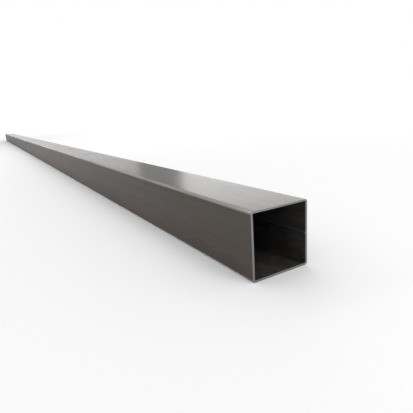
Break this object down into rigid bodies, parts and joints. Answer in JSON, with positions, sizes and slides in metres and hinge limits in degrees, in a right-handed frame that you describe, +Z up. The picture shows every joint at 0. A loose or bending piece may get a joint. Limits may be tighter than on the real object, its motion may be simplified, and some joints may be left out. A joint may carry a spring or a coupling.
{
  "type": "square steel tube",
  "caption": "Straight square hollow section in cold-formed, seam-welded steel, open at both ends, used as framing stock.",
  "frame": {"origin": "middle of the bottom face, half way along the tube", "axes": "+Z up, Y along the tube; the -Y end is the front end and the seam is in the +X wall"},
  "size_m": [0.1, 6, 0.1],
  "materials": {
    "mill_steel": "satin"
  },
  "bodies": {
    "root": {"square_tube": "mill_steel"}
  },
  "joints": []
}
